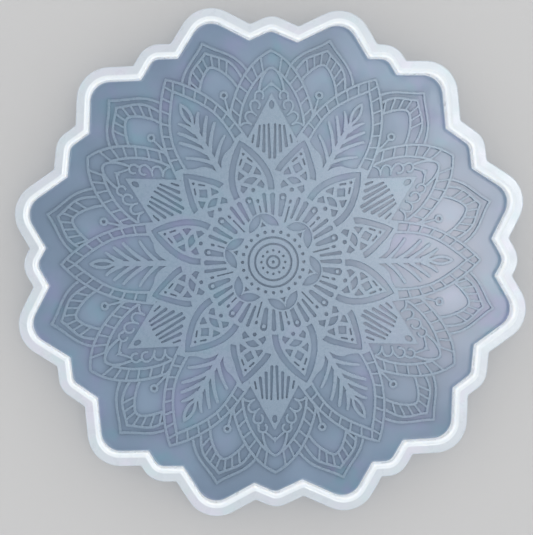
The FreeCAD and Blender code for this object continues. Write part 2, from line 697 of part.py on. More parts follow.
def ring_stalk():
    """Small ring on a straight stalk that widens at its foot."""
    ring_centre = at(0, STALK_RING_DISTANCE)
    ring = disc(ring_centre, STALK_RING_RADIUS)
    stalk = bar(line_of((0, 69.6), (0, 64)), sizes.rung_width)
    foot = bar(line_of((0, 65), (0, 58)), sizes.rung_width, 3)
    return minus(merged([ring, stalk, foot]), [disc(ring_centre, STALK_EYE_RADIUS)])


# ---------------------------------------------------------------- ring of rays

# Slots in one twelfth of the ring: angle, inner radius, outer radius, inner width, outer width.
RAY_SLOTS = [
    (0, 18.9, 28.1, 1, 1.9),
    (7.3, 19.2, 28.3, 0.8, 1.35),
    (13.3, 16.8, 23.6, 0.45, 0.5),
    (13.7, 24.8, 26.3, 0.9, 1),
    (21, 18.8, 28.3, 1.5, 2.8),
]
BEAD_ANGLE = 21
BEAD_DISTANCE = 26.5
BEAD_RADIUS = 0.85


def ray_ring():
    """Flat ring outside the flower, pierced by tapering slots. The widest slots each hold a bead."""
    ring = disc(Vector(), sizes.ray_ring_radius)
    petal_centre = Vector(0, sizes.flower_petal_centre, 0)
    flower = [on_axis(disc(petal_centre, sizes.flower_petal_radius), angle)
              for angle in sector_angles(sizes.flower_angle)]
    flower.append(disc(Vector(), sizes.flower_disc_radius))
    slots = []
    beads = []
    for step in range(int(sizes.ray_count)):
        first = 360 * step / sizes.ray_count
        for angle, inner, outer, inner_width, outer_width in RAY_SLOTS:
            path = line_of((0, inner + inner_width / 2), (0, outer - outer_width / 2))
            slots.append(on_axis(bar(path, inner_width, outer_width), first + angle))
        beads.append(on_axis(disc(at(0, BEAD_DISTANCE), BEAD_RADIUS), first + BEAD_ANGLE))
    pierced = ring.cut(flower).cut(slots)
    return Part.makeCompound(pierced.Solids + beads)


# ---------------------------------------------------------------- fitting the motifs together

def neighbours(shape, first):
    """Copies of a motif in this sector and the sectors on either side, turned onto its axis."""
    sector = 360 / sizes.sectors
    return [on_axis(shape, first + offset) for offset in (-sector, 0, sector)]


def frame_area(rail):
    """Everything inside a frame's outer rail, out to the rail's own outer edge."""
    return merged([arch(rail)] + on_both_sides([bar(rail, sizes.rail_width)]))


def pattern_nodes():
    """The free-form nodes. Where two motifs would overlap, the later one is cut back."""
    middle = disc(Vector(), sizes.ray_ring_radius)
    narrow = arch(NARROW_BORDER)
    wide = arch(WIDE_BORDER)
    wide_petals = neighbours(wide, WIDE_AXIS)
    petals = neighbours(narrow, NARROW_AXIS) + wide_petals
    feather_frame_shape = feather_frame()
    fan_frame_shape = fan_frame()
    feather_areas = neighbours(frame_area(FEATHER_OUTER_RAIL), FEATHER_AXIS)
    fan_areas = neighbours(frame_area(FAN_OUTER_RAIL), FAN_AXIS)
    feather_frames = neighbours(feather_frame_shape, FEATHER_AXIS)
    leaf = on_axis(feather_leaf(), FEATHER_AXIS)
    fan = on_axis(fan_petal(), FAN_AXIS)
    frame_here = minus(on_axis(feather_frame_shape, FEATHER_AXIS), petals + [middle])
    fan_frame_here = minus(on_axis(fan_frame_shape, FAN_AXIS), petals + feather_areas)
    hood = minus(on_axis(fan_hood(), FAN_AXIS), petals + feather_areas + [on_axis(fan_frame_shape, FAN_AXIS)])
    corners = [minus(on_axis(corner_frame(), FIRST_CORNER_AXIS), feather_areas + fan_areas),
               minus(on_axis(mirrored(corner_frame()), SECOND_CORNER_AXIS), feather_areas + fan_areas)]
    stalks = [minus(on_axis(ring_stalk(), FEATHER_AXIS + offset), feather_areas + fan_areas)
              for offset in (STALK_OFFSET, 360 / sizes.sectors - STALK_OFFSET)]
    return {
        "ray_ring": ray_ring(),
        "lattice_petals_narrow": all_round(minus(on_axis(narrow_petal(), NARROW_AXIS), [middle] + wide_petals)),
        "lattice_petals_wide": all_round(minus(on_axis(wide_petal(), WIDE_AXIS), [middle])),
        "feather_frames": all_round(frame_here),
        "feather_leaves": all_round(minus(leaf, petals + [middle] + feather_frames)),
        "fan_petals": all_round(minus(fan, petals + [middle] + feather_frames)),
        "fan_frames": all_round(fan_frame_here),
        "fan_scrolls": all_round(hood),
        "corner_frames": all_round(Part.makeCompound(corners)),
        "ring_stalks": all_round(Part.makeCompound(stalks)),
    }


def make_pattern_features():
    features = []
    for name, shape in pattern_nodes().items():
        feature = doc.addObject("Part::Feature", name)
        feature.Label = name
        feature.Shape = shape
        feature.Placement = FreeCAD.Placement()
        features.append(feature)
    return features


# ---------------------------------------------------------------- build, check and write

def check_document():
    doc.recompute()
    for item in doc.Objects:
        if "Invalid" in item.State or "Error" in item.State:
            raise RuntimeError(f"{item.Name} failed: {item.State}")


def write_parts(parts):
    os.makedirs("parts", exist_ok=True)
    for part in parts:
        shape = part.Shape
        if shape.isNull() or not shape.isValid() or not shape.Solids:
            raise RuntimeError(f"{part.Label} has no valid solid")
        shape.exportStep(f"parts/{part.Label}.step")
        print(f"{part.Label}: {len(shape.Solids)} solids, {shape.Volume:.0f} mm3")


bodies = [make_floor_sheet(), make_rim_wall(), make_centre_medallion(), make_flower_petals()]
check_document()
features = make_pattern_features()
check_document()
write_parts(bodies + features)
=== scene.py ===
"""Looks of a translucent silicone resin mould: lobed wall, glossy floor and frosted relief."""

import math

import bmesh
import bpy
import numpy as np
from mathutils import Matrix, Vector
from mathutils.geometry import delaunay_2d_cdt
from mathutils.kdtree import KDTree

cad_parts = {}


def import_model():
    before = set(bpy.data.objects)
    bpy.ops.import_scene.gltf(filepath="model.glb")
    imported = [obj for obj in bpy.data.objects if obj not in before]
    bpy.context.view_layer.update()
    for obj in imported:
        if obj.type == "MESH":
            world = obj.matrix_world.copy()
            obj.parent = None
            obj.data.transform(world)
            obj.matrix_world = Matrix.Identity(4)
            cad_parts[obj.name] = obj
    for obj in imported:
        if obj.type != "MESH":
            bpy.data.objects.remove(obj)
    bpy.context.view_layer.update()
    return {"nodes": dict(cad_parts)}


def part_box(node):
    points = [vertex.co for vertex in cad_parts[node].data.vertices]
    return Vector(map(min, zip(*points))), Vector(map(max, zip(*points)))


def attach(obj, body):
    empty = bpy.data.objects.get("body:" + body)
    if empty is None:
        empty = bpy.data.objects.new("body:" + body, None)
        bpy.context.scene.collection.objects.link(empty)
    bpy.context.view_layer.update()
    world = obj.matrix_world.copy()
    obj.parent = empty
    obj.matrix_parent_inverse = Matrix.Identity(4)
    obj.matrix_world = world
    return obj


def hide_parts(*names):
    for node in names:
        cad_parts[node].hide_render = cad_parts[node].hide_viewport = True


MM = 0.001

RELIEF_NODES = (
    "centre_medallion",
    "flower_petals",
    "ray_ring",
    "lattice_petals_wide",
    "lattice_petals_narrow",
    "feather_leaves",
    "feather_frames",
    "fan_petals",
    "fan_scrolls",
    "fan_frames",
    "corner_frames",
    "ring_stalks",
)

# Reading the CAD outlines, in millimetres and degrees.
WELD = 0.002  # points closer than this are one point
LEVEL = 0.01  # how far the points of a flat face may be from its height
FLAT_FACING = 0.9  # least vertical part of a flat face's normal
CORNER_TURN = 38.0  # sharper turns stay corners
FINEST_TURN = 7.0  # largest turn between two steps of a curve
LONGEST_MITRE = 2.5  # how far a sharp corner may reach, in widths
MERGE = 1e-5  # points of a cap closer than this are one point

# Rounded edges of the wall, in millimetres.
WALL_SPACING = 0.55
WALL_SOFTNESS = 0.8  # spread of the corner softening, in steps
SOFTENING_REACH = 3  # where the softening is cut off, in spreads
WALL_FOOT_RADIUS = 0.4
FOOT_STEPS = 3
WALL_OUTER_RADIUS = 0.45
OUTER_STEPS = 5
WALL_INNER_RADIUS = 2.0
INNER_STEPS = 7
FLOOR_FILLET = 0.7
FILLET_STEPS = 5

# Rounded edges of the relief, in millimetres.
RELIEF_RADIUS = 0.2
RELIEF_STEPS = 3
ROOM_SEARCH = 0.6  # how far off narrow material is looked for
ROOM_SHARE = 0.6  # share of the free room that rounding may take
LEAST_DEPTH = 1e-6  # samples less deep than this are on the near side
EDGE_TOLERANCE = 1e-4  # how far off an edge a sample may be and still lie on it
SEAM_REACH = 0.07  # neighbours closer than this share a seam
SEAM_TAPER = 0.2  # length over which rounding fades out beside a seam
SEAM_STEP = 0.1  # spacing of the samples
TIGHT_STEP = 0.3  # spacing of added points where material is narrow
TIGHT_DEPTH = 0.02  # how deep a sample must be to count as the far side
REACH_ROUNDS = 12
PUSH_SLOPE = 0.6  # how fast rounding may change along an edge
SHORTEST_SHARE = 0.1  # rounding may shrink an edge to this share of its length
BACK_OFF = 0.6  # factor on the rounding where an edge shrinks more

# Silicone colours, linear.
CLEAR_COLOUR = (0.214, 0.293, 0.403)
FROSTED_COLOUR = (0.196, 0.272, 0.364)
FROST_SPECK = (0.240, 0.320, 0.412)
MILKY_COLOUR = (0.60, 0.65, 0.70)
# Painted highlights: paler wall colours on the inner shoulder and the inside face.
SHOULDER_PAINTED_HIGHLIGHT = (0.75, 0.795, 0.83)
INSIDE_PAINTED_HIGHLIGHT = (0.93, 0.96, 0.98)
# Painted shade: darker wall colour where the wall faces outward.
OUTSIDE_PAINTED_SHADE = (0.49, 0.54, 0.60)
SILICONE_IOR = 1.41

# How the colours drift: size of the blotches in millimetres, offset of the noise, noise value
# where the drift sets in, and the change of colour (to lavender, teal and dark).
DRIFTS = (
    (15, 40, 0.45, (1.12, 0.96, 1.07)),
    (11, 90, 0.5, (0.90, 1.06, 1.01)),
    (30, 15, 0.42, (0.9, 0.9, 0.9)),
)
DRIFT_WIDTH = 0.25
NOISE_RANGE = (0.3, 0.7)  # where most values of a noise lie

# Tilts towards the middle between which the wall takes its painted shade (outside) and painted highlights
# (shoulder and inside).
OUTSIDE_SHADE_TILTS = (0.0, -0.5)
SHOULDER_HIGHLIGHT_TILTS = (0.0, 0.25)
INSIDE_HIGHLIGHT_TILTS = (0.5, 0.9)
CLIMB_START = 0.05  # height above the floor where its fillet turns milky, in millimetres

# How light soaks into the wall: share, reach of red, green and blue, and scale in millimetres.
SOAK_SHARE = 0.6
SOAK_REACH = (1.0, 1.1, 1.25)
SOAK_SCALE = 0.3

# Table and light.
TABLE_HALF = 3.0
TABLE_GAP = 0.1 * MM
TABLE_COLOUR = (0.56, 0.56, 0.56)
TABLE_SHADE = (0.52, 0.52, 0.525)
TENT_STRENGTH = 2.78
TENT_STOPS = ((0.0, 0.8), (0.3, 0.8), (0.5, 0.31), (1.0, 0.28))  # upward part of a direction, grey

# Soft boxes overhead: centre, width and depth, power and colour.
SOFT_BOXES = {
    "haze": ((0.262, -0.008, 0.9), (0.28, 0.46), 4.3, (1.0, 0.86, 0.84)),
    "glow": ((0.330, 0.100, 0.9), (0.72, 0.66), 20.0, (0.93, 0.98, 1.0)),
}

# Camera nearly straight above: metres, degrees and millimetres.
CAMERA_PLACE = (-0.0365, 0.0072, 0.5)
CAMERA_TURN = (-1.04, -3.90, -0.59)
SENSOR_WIDTH = 36.0
LENS = 82.3

UP = np.array((0.0, 0.0, 1.0))
DOWN = -UP


# ---------------------------------------------------------------- outlines


def cad_outlines(node, height, upward=True):
    """Closed outlines of a CAD node's flat faces at one height, material on the left seen from above."""
    mesh = bmesh.new()
    mesh.from_mesh(node.data)
    bmesh.ops.remove_doubles(mesh, verts=mesh.verts, dist=WELD * MM)
    mesh.normal_update()
    facing = 1 if upward else -1
    flat = {
        face
        for face in mesh.faces
        if face.normal.z * facing > FLAT_FACING
        and all(abs(vert.co.z - height) < LEVEL * MM for vert in face.verts)
    }
    open_corners = {
        corner
        for face in flat
        for corner in face.loops
        if corner.link_loop_radial_next.face not in flat
    }
    outlines = []
    for first in sorted(open_corners, key=lambda corner: (corner.vert.co.x, corner.vert.co.y)):
        if first not in open_corners:
            continue
        outline = []
        corner = first
        while corner in open_corners:
            open_corners.discard(corner)
            outline.append((corner.vert.co.x / MM, corner.vert.co.y / MM))
            corner = corner.link_loop_next
            while corner.link_loop_radial_next.face in flat:
                corner = corner.link_loop_radial_next.link_loop_next
        outlines.append(np.array(outline))
    mesh.free()
    if not upward:
        outlines = [outline[::-1] for outline in outlines]
    return outlines


def edges_of(outline):
    """Edge vectors, lengths and headings of a closed outline."""
    edge = np.roll(outline, -1, axis=0) - outline
    length = np.hypot(edge[:, 0], edge[:, 1])
    heading = np.arctan2(edge[:, 1], edge[:, 0])
    return edge, length, heading


def turn_between(before, after):
    """Signed turn from one heading to the next."""
    return (after - before + math.pi) % math.tau - math.pi


def tangents_of(outline):
    """Headings of the smooth curve as it leaves and as it reaches each point; they differ at a corner."""
    _, length, heading = edges_of(outline)
    before = np.roll(heading, 1)
    length_before = np.roll(length, 1)
    turn = turn_between(before, heading)
    smooth = before + turn * length / (length + length_before)
    corner = np.abs(turn) > math.radians(CORNER_TURN)
    return np.where(corner, heading, smooth), np.where(corner, before, smooth)


def curved(outline, counts):
    """The outline with each edge bent into a smooth curve and cut into its own number of steps."""
    edge, length, _ = edges_of(outline)
    leaving, reaching = tangents_of(outline)
    reaching = np.roll(reaching, -1)
    start_pull = np.stack([np.cos(leaving), np.sin(leaving)], 1) * length[:, None]
    end_pull = np.stack([np.cos(reaching), np.sin(reaching)], 1) * length[:, None]
    pieces = []
    for index, count in enumerate(counts):
        t = (np.arange(count) / count)[:, None]
        pieces.append(
            outline[index]
            + edge[index] * (3 * t**2 - 2 * t**3)
            + start_pull[index] * (t**3 - 2 * t**2 + t)
            + end_pull[index] * (t**3 - t**2)
        )
    return np.concatenate(pieces)


def steps_for_turn(outline):
    """Steps that each edge needs for its curve to look smooth."""
    _, _, heading = edges_of(outline)
    leaving, reaching = tangents_of(outline)
    bend = np.maximum(
        np.abs(turn_between(leaving, heading)),
        np.abs(turn_between(heading, np.roll(reaching, -1))),
    )
    return np.maximum(1, np.ceil(2 * bend / math.radians(FINEST_TURN))).astype(int)


def side_of(outline):
    """Unit mitre direction towards the material and its stretch at each point of an outline."""
    _, _, heading = edges_of(outline)
    before = np.roll(heading, 1)
    half_turn = turn_between(before, heading) / 2
    middle = before + half_turn + math.pi / 2
    stretch = 1 / np.maximum(np.cos(half_turn), 1 / LONGEST_MITRE)
    return np.stack([np.cos(middle), np.sin(middle)], 1), stretch[:, None]


def mitred(outline, distance):
    """The outline moved sideways into the material, corners kept sharp."""
    side, stretch = side_of(outline)
    return outline + side * stretch * distance


def softened(outline, spread):
    """The outline with its corners slightly rounded."""
    reach = math.ceil(SOFTENING_REACH * spread)
    offsets = np.arange(-reach, reach + 1)
    weights = np.exp(-0.5 * (offsets / spread) ** 2)
    weights /= weights.sum()
    return sum(weight * np.roll(outline, offset, axis=0) for weight, offset in zip(weights, offsets))


# ---------------------------------------------------------------- solids


class Shell:
    """Collects the rings, strips and flat caps of one closed piece, with its shading normals."""

    def __init__(self):
        self.points = []
        self.faces = []
        self.normals = []

    def ring(self, outline, heights, shared=None, keep=None):
        """Adds a ring of points; where keep is true, a ring given as shared lends its own point."""
        heights = np.broadcast_to(heights, len(outline))
        indices = []
        for index, (place, height) in enumerate(zip(outline, heights)):
            if shared is not None and keep[index]:
                indices.append(shared[index])
                continue
            indices.append(len(self.points))
            self.points.append((place[0] * MM, place[1] * MM, height * MM))
        return indices

    def face(self, corners, normals):
        """Adds a face, leaving out repeated corners, unless too few corners are left."""
        pairs = list(zip(corners, normals))
        kept = [pair for index, pair in enumerate(pairs) if pair[0] != pairs[index - 1][0]]
        if len(kept) > 2:
            self.faces.append([corner for corner, _ in kept])
            self.normals.extend(normal for _, normal in kept)

    def strip(self, lower, upper, lower_normals, upper_normals):
        """Joins two rings by a band of faces."""
        count = len(lower)
        for index in range(count):
            after = (index + 1) % count
            self.face(
                (lower[index], lower[after], upper[after], upper[index]),
                (lower_normals[index], lower_normals[after], upper_normals[after], upper_normals[index]),
            )

    def cap(self, rings, upward=True):
        """Fills the flat area on the left of the rings with triangles."""
        numbers = [number for ring in rings for number in ring]
        places = [Vector(self.points[number][:2]) / MM for number in numbers]
        given = []
        for ring in rings:
            start = len(given)
            count = len(ring)
            given.extend((start + k, start + (k + 1) % count) for k in range(count))
        found, lines, triangles, origins, line_origins, _ = delaunay_2d_cdt(
            places, given, [], 0, MERGE, True
        )
        crossings = {}
        for (a, b), sources in zip(lines, line_origins):
            along = found[b] - found[a]
            for source in sources:
                start, end = given[source]
                step = 1 if along.dot(places[end] - places[start]) > 0 else -1
                crossings[(a, b)] = crossings.get((a, b), 0) + step
                crossings[(b, a)] = crossings.get((b, a), 0) - step
        height = self.points[numbers[0]][2]
        owners = []
        for place, sources in zip(found, origins):
            if sources:
                owners.append(numbers[sources[0]])
            else:
                owners.append(len(self.points))
                self.points.append((place.x * MM, place.y * MM, height))
        normal = UP if upward else DOWN
        for triangle in triangles_inside(triangles, crossings):
            corners = [owners[corner] for corner in triangle]
            self.face(corners if upward else corners[::-1], [normal] * 3)

    def build(self, name):
        """Makes the Blender object."""
        mesh = bpy.data.meshes.new(name)
        mesh.from_pydata(self.points, [], self.faces)
        mesh.shade_smooth()
        mesh.normals_split_custom_set(self.normals)
        piece = bpy.data.objects.new(name, mesh)
        bpy.context.scene.collection.objects.link(piece)
        return piece


def triangles_inside(triangles, crossings):
    """The triangles that the outlines wind round, found by spreading in from the outside."""
    owners = {}
    for number, triangle in enumerate(triangles):
        for side in sides_of(triangle):
            owners[side] = number
    winding = {}
    waiting = []
    for side, number in owners.items():
        if side[::-1] not in owners and number not in winding:
            winding[number] = crossings.get(side, 0)
            waiting.append(number)
    while waiting:
        number = waiting.pop()
        for side in sides_of(triangles[number]):
            neighbour = owners.get(side[::-1])
            if neighbour is not None and neighbour not in winding:
                winding[neighbour] = winding[number] - crossings.get(side, 0)
                waiting.append(neighbour)
    return [triangle for number, triangle in enumerate(triangles) if winding[number] > 0]


def sides_of(triangle):
    """The three directed sides of a triangle."""
    first, second, third = triangle
    return (first, second), (second, third), (third, first)


def leaning(outline, tilt):
    """Shading normals that lean from facing away from the material (0) to facing up (90)."""
    side, _ = side_of(outline)
    flat = math.cos(math.radians(tilt))
    return np.column_stack([-side * flat, np.full(len(outline), math.sin(math.radians(tilt)))])


def quarter_round(radius, steps):
    """Inset, drop and tilt of each ring that rounds an edge, from its upright side to its flat one."""
    rings = []
    for tilt in np.linspace(0, 90, steps + 1):
        angle = math.radians(tilt)
        rings.append((radius * (1 - math.cos(angle)), radius * (1 - math.sin(angle)), tilt))
    return rings


def rounded_top(radius, top, steps):
    """Inset, height and tilt of each ring that rounds a top edge."""
    return [(inset, top - drop, tilt) for inset, drop, tilt in quarter_round(radius, steps)]


def wall_rings(shell, outline, profile):
    """Builds one side of the wall from an outline and a profile of inset, height and tilt."""
    _, length, _ = edges_of(outline)
    counts = np.ceil(length / WALL_SPACING).astype(int)
    first = previous = previous_place = None
    for inset, height, tilt in profile:
        line = softened(curved(mitred(outline, inset), counts), WALL_SOFTNESS)
        normals = leaning(line, tilt)
        if previous_place == (inset, height):
            previous_normals = normals
            continue
        ring = shell.ring(line, height)
        if previous is None:
            first = ring
        else:
            shell.strip(previous, ring, previous_normals, normals)
        previous, previous_normals, previous_place = ring, normals, (inset, height)
    return first, previous


def make_wall(node, floor_top, wall_top):
    """The lobed wall: softly rounded top edges and a small rounding where it meets the table."""
    outer, cavity = sorted(
        cad_outlines(node, 0.0, upward=False), key=lambda line: -np.abs(line).max()
    )
    foot = quarter_round(WALL_FOOT_RADIUS, FOOT_STEPS)
    outer_profile = [(inset, drop, -tilt) for inset, drop, tilt in reversed(foot)]
    outer_profile += rounded_top(WALL_OUTER_RADIUS, wall_top, OUTER_STEPS)
    cavity_profile = [(0, 0, 0), (0, floor_top, 0)]
    cavity_profile += rounded_top(WALL_INNER_RADIUS, wall_top, INNER_STEPS)
    shell = Shell()
    outer_foot, outer_top = wall_rings(shell, outer, outer_profile)
    cavity_foot, cavity_top = wall_rings(shell, cavity, cavity_profile)
    shell.cap([outer_top, cavity_top])
    shell.cap([outer_foot, cavity_foot], upward=False)
    return shell.build("silicone_wall")


def make_floor(node, floor_top):
    """The floor membrane, with a small fillet where it runs into the wall."""
    (outline,) = cad_outlines(node, floor_top * MM)
    profile = [(0, 0, 0), (0, floor_top + FLOOR_FILLET, 0)]
    for inset, rise, tilt in quarter_round(FLOOR_FILLET, FILLET_STEPS):
        profile.append((inset, floor_top + rise, 180 - tilt))
    shell = Shell()
    foot, fillet_foot = wall_rings(shell, outline, profile)
    shell.cap([fillet_foot])
    shell.cap([foot], upward=False)
    return shell.build("silicone_floor")


# ---------------------------------------------------------------- relief


def samples_along(outline, step):
    """Points at a close spacing along an outline."""
    edge, length, _ = edges_of(outline)
    counts = np.maximum(1, np.ceil(length / step).astype(int))
    return np.concatenate(
        [outline[k] + edge[k] * (np.arange(n) / n)[:, None] for k, n in enumerate(counts)]
    )


def tree_of(outlines):
    """Search tree over close samples of many outlines, and the samples."""
    places = np.concatenate([samples_along(outline, SEAM_STEP) for outline in outlines])
    tree = KDTree(len(places))
    for index, place in enumerate(places):
        tree.insert((place[0], place[1], 0), index)
    tree.balance()
    return tree, places


def touches(tree, place):
    """True where a neighbouring part of the relief meets this place."""
    _, _, distance = tree.find((place[0], place[1], 0))
    return distance < SEAM_REACH


def with_tight_points(outline, tree, places):
    """The outline with points added along its edges wherever the material beside them is narrow."""
    edge, length, _ = edges_of(outline)
    points = []
    for start, along, reach in zip(outline, edge, length):
        points.append(start)
        inward = np.array((-along[1], along[0])) / reach
        steps = int(reach / TIGHT_STEP)
        for step in range(1, steps):
            place = start + along * step / steps
            found = tree.find_range((place[0], place[1], 0), TIGHT_STEP)
            if any((places[number] - place) @ inward > TIGHT_DEPTH for _, number, _ in found):
                points.append(place)
    return np.array(points)


def seam_marks(outline, tree):
    """The outline with taper points beside its seams, and which points lie on a seam."""
    on_seam = [touches(tree, place) for place in outline]
    points = []
    marks = []
    for index, place in enumerate(outline):
        after = (index + 1) % len(outline)
        edge = outline[after] - place
        length = math.hypot(*edge)
        points.append(place)
        marks.append(on_seam[index])
        if length < 2 * SEAM_TAPER or on_seam[index] == on_seam[after]:
            continue
        if on_seam[index]:
            points.append(place + edge * SEAM_TAPER / length)
        else:
            points.append(outline[after] - edge * SEAM_TAPER / length)
        marks.append(False)
    return np.array(points), np.array(marks)


def room_beside(outline, tree, places, side):
    """Radius of the largest circle inside the material that touches each point, if it is small."""
    after = np.roll(outline, -1, axis=0)
    before = np.roll(outline, 1, axis=0)
    room = np.full(len(outline), ROOM_SEARCH)
    for index, place in enumerate(outline):
        inward = side[index]
        for _, number, distance in tree.find_range((place[0], place[1], 0), ROOM_SEARCH):
            gap = places[number] - place
            depth = gap @ inward
            own_edges = ((before[index], place), (place, after[index]))
            if depth < LEAST_DEPTH or any(on_edge(places[number], *edge) for edge in own_edges):
                continue
            room[index] = min(room[index], distance**2 / (2 * depth))
    return room


def on_edge(point, start, end):
    """True if the point lies on the straight edge between two others."""
    edge = end - start
    gap = point - start
    length = math.hypot(edge[0], edge[1])
    along = (gap @ edge) / length
    across = abs(gap[0] * edge[1] - gap[1] * edge[0]) / length
    return across < EDGE_TOLERANCE and -EDGE_TOLERANCE < along < length + EDGE_TOLERANCE


def shoulder_reach(outline, radius, marks, tree, places):
    """How fully each point may be rounded, none on a seam and less in narrow material, and which way."""
    side, stretch = side_of(outline)
    edge, length, _ = edges_of(outline)
    room = room_beside(outline, tree, places, side)
    reach = np.where(marks, 0.0, np.minimum(1.0, ROOM_SHARE * room / radius))
    full = radius * stretch[:, 0]
    for _ in range(REACH_ROUNDS):
        push = full * reach
        limit = np.minimum(
            np.roll(push, -1) + PUSH_SLOPE * length, np.roll(push + PUSH_SLOPE * length, 1)
        )
        reach = np.minimum(reach, limit / full)
        moved = outline + side * (full * reach)[:, None]
        moved_edge = np.roll(moved, -1, axis=0) - moved
        shrunk = (moved_edge * edge).sum(1) < SHORTEST_SHARE * length**2
        reach = np.where(shrunk | np.roll(shrunk, 1), reach * BACK_OFF, reach)
    return side * stretch * reach[:, None], reach


def make_relief(node, outlines, neighbours, floor_top, relief_top):
    """One part of the raised pattern: soft shoulders, but flush where it joins its neighbours."""
    seam_tree, _ = tree_of(neighbours)
    own_tree, own_places = tree_of(outlines)
    shell = Shell()
    feet = []
    tops = []
    for outline in outlines:
        line, marks = seam_marks(with_tight_points(outline, own_tree, own_places), seam_tree)
        push, reach = shoulder_reach(line, RELIEF_RADIUS, marks, own_tree, own_places)
        foot = shell.ring(line, floor_top)
        previous, previous_normals = foot, leaning(line, 0)
        shoulder = None
        for inset, drop, tilt in quarter_round(RELIEF_RADIUS, RELIEF_STEPS):
            shoulder = shell.ring(line + push * inset, relief_top - drop * reach, shoulder, marks)
            normals = leaning(line, tilt)
            normals[marks] = UP
            shell.strip(previous, shoulder, previous_normals, normals)
            previous, previous_normals = shoulder, normals
        feet.append(foot)
        tops.append(shoulder)
    shell.cap(tops)
    shell.cap(feet, upward=False)
    return shell.build("relief_" + node)


# ---------------------------------------------------------------- materials


class Recipe:
    """A material being put together from nodes; lengths in its patterns are in millimetres."""

    def __init__(self, name):
        self.material = bpy.data.materials.new(name)
        self.material.use_nodes = True
        self.tree = self.material.node_tree
        self.surface = self.tree.nodes["Principled BSDF"]
        coordinates = self.node("ShaderNodeTexCoord")
        scale = self.node("ShaderNodeVectorMath", operation="SCALE")
        scale.inputs["Scale"].default_value = 1 / MM
        self.join(coordinates.outputs["Object"], scale.inputs[0])
        self.place = scale.outputs[0]

    def node(self, kind, **settings):
        """Adds a node with these settings."""
        made = self.tree.nodes.new(kind)
        for name, value in settings.items():
            setattr(made, name, value)
        return made

    def join(self, source, target):
        """Links an output to an input."""
        self.tree.links.new(source, target)

    def noise(self, size, detail=2.0, roughness=0.5, shift=0.0):
        """Soft random pattern between 0 and 1 whose blotches are about this size."""
        move = self.node("ShaderNodeVectorMath", operation="ADD")
        move.inputs[1].default_value = (shift, -shift, shift / 2)
        self.join(self.place, move.inputs[0])
        made = self.node("ShaderNodeTexNoise")
        made.inputs["Scale"].default_value = 1 / size
        made.inputs["Detail"].default_value = detail
        made.inputs["Roughness"].default_value = roughness
        self.join(move.outputs[0], made.inputs["Vector"])
        return made.outputs["Fac"]

    def ranged(self, value, low, high, to_low=0.0, to_high=1.0):
        """Smoothly maps a value between two limits onto two others."""
        made = self.node("ShaderNodeMapRange", interpolation_type="SMOOTHSTEP")
        for name, number in (
            ("From Min", low),
            ("From Max", high),
            ("To Min", to_low),
            ("To Max", to_high),
        ):
            made.inputs[name].default_value = number
        self.join(value, made.inputs["Value"])
        return made.outputs["Result"]

    def blend(self, share, first, second):
        """Mixes two colours, each a socket or a plain colour."""
        made = self.node("ShaderNodeMix", data_type="RGBA")
        self.join(share, made.inputs["Factor"])
        for colour, slot in ((first, made.inputs[6]), (second, made.inputs[7])):
            if isinstance(colour, tuple):
                slot.default_value = (*colour, 1.0)
            else:
                self.join(colour, slot)
        return made.outputs[2]

    def patchy(self, size, low, high):
        """A value that wanders between two limits in patches of about this size."""
        return self.ranged(self.noise(size, detail=3.0), *NOISE_RANGE, low, high)

    def height(self):
        """Height above the table in millimetres."""
        split = self.node("ShaderNodeSeparateXYZ")
        self.join(self.place, split.inputs[0])
        return split.outputs["Z"]

    def facing_middle(self):
        """Tilt of the surface towards the middle: 0 is flat, 1 upright and facing in, -1 facing out."""
        flatten = self.node("ShaderNodeVectorMath", operation="MULTIPLY")
        flatten.inputs[1].default_value = (-1, -1, 0)
        self.join(self.place, flatten.inputs[0])
        inward = self.node("ShaderNodeVectorMath", operation="NORMALIZE")
        self.join(flatten.outputs[0], inward.inputs[0])
        agreement = self.node("ShaderNodeVectorMath", operation="DOT_PRODUCT")
        self.join(inward.outputs[0], agreement.inputs[0])
        self.join(self.node("ShaderNodeNewGeometry").outputs["Normal"], agreement.inputs[1])
        return agreement.outputs["Value"]

    def bump(self, pattern, depth, under=None):
        """A fine surface texture of this depth in millimetres, on top of another one if given."""
        made = self.node("ShaderNodeBump")
        made.inputs["Strength"].default_value = 1.0
        made.inputs["Distance"].default_value = depth * MM
        self.join(pattern, made.inputs["Height"])
        if under is not None:
            self.join(under, made.inputs["Normal"])
        return made.outputs["Normal"]

    def finish(self, colour, roughness, normal):
        """Connects the three sockets to the surface."""
        self.join(colour, self.surface.inputs["Base Color"])
        self.join(roughness, self.surface.inputs["Roughness"])
        self.join(normal, self.surface.inputs["Normal"])
        self.surface.inputs["IOR"].default_value = SILICONE_IOR
        return self.material


def tinted(recipe, base, depth):
    """Silicone colour that drifts softly, as deeply as given, away from its base colour."""
    colour = base
    for size, offset, low, change in DRIFTS:
        noise = recipe.noise(size, shift=offset)
        share = recipe.ranged(noise, low, low + DRIFT_WIDTH, 0.0, depth)
        tint = tuple(part * factor for part, factor in zip(base, change))
        colour = recipe.blend(share, colour, tint)
    return colour


def clear_silicone(floor_top):
    """Glossy floor of the cavity, milkier where it climbs the wall."""
    recipe = Recipe("clear_silicone")
    climb_start = floor_top + CLIMB_START
    climb = recipe.ranged(recipe.height(), climb_start, climb_start + FLOOR_FILLET)
    colour = recipe.blend(climb, tinted(recipe, CLEAR_COLOUR, depth=1.0), MILKY_COLOUR)
    roughness = recipe.patchy(size=6, low=0.12, high=0.2)
    waves = recipe.bump(recipe.noise(size=9, shift=5), depth=0.02)
    grain = recipe.bump(recipe.noise(size=0.6), depth=0.002, under=waves)
    return recipe.finish(colour, roughness, grain)


